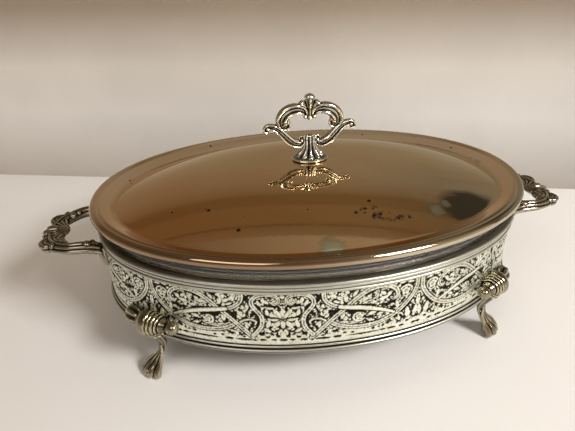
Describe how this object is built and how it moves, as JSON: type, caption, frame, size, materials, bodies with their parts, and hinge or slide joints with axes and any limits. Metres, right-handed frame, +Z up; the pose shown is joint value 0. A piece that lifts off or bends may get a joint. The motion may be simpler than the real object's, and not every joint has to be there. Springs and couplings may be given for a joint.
{
  "type": "oval covered serving dish",
  "caption": "Oval covered serving dish: embossed metal stand on cast paw feet, clear glass liner and a domed metal lid with a scrolled loop handle.",
  "frame": {"origin": "middle of the surface that the four feet stand on, under the centre of the oval", "axes": "+X along the dish's long axis towards one end handle, +Y towards the back, +Z up, the way the lid and the liner lift out"},
  "size_m": [0.3712, 0.2042, 0.16],
  "materials": {
    "silver_plate": "silver plate, bright on the raised work and oxidised nearly black in the ground",
    "cast_nickel_silver": "silver-plated casting, tarnished warm grey-brown",
    "bright_casting": "polished silver plate with dark tarnish in the hollows",
    "worn_silver_on_copper": "thin worn silver plate with the copper showing through, polished, lightly pitted",
    "clear_glass": "clear pressed heat-resistant glass",
    "plated_steel": "dull nickel-plated steel"
  },
  "bodies": {
    "stand": {"gallery_band": "silver_plate", "top_rim": "silver_plate", "bottom_rim": "silver_plate", "foot_front_left": "cast_nickel_silver", "foot_front_right": "cast_nickel_silver", "foot_back_left": "cast_nickel_silver", "foot_back_right": "cast_nickel_silver", "foot_screw_front_left": "plated_steel", "foot_screw_front_right": "plated_steel", "foot_screw_back_left": "plated_steel", "foot_screw_back_right": "plated_steel", "end_handle_left": "cast_nickel_silver", "end_handle_right": "cast_nickel_silver", "handle_screw_front_left": "plated_steel", "handle_screw_front_right": "plated_steel", "handle_screw_back_left": "plated_steel", "handle_screw_back_right": "plated_steel"},
    "liner": {"glass_liner": "clear_glass"},
    "lid": {"lid_shell": "worn_silver_on_copper", "lid_handle": "bright_casting", "lid_handle_stud": "plated_steel", "lid_handle_washer": "plated_steel", "lid_handle_nut": "plated_steel"}
  },
  "joints": [
    {"name": "liner_lift", "type": "slide", "parent": "stand", "child": "liner", "axis": [0, 0, 1], "range_m": [0, 0.07]},
    {"name": "lid_lift", "type": "slide", "parent": "liner", "child": "lid", "axis": [0, 0, 1], "range_m": [0, 0.08]}
  ]
}
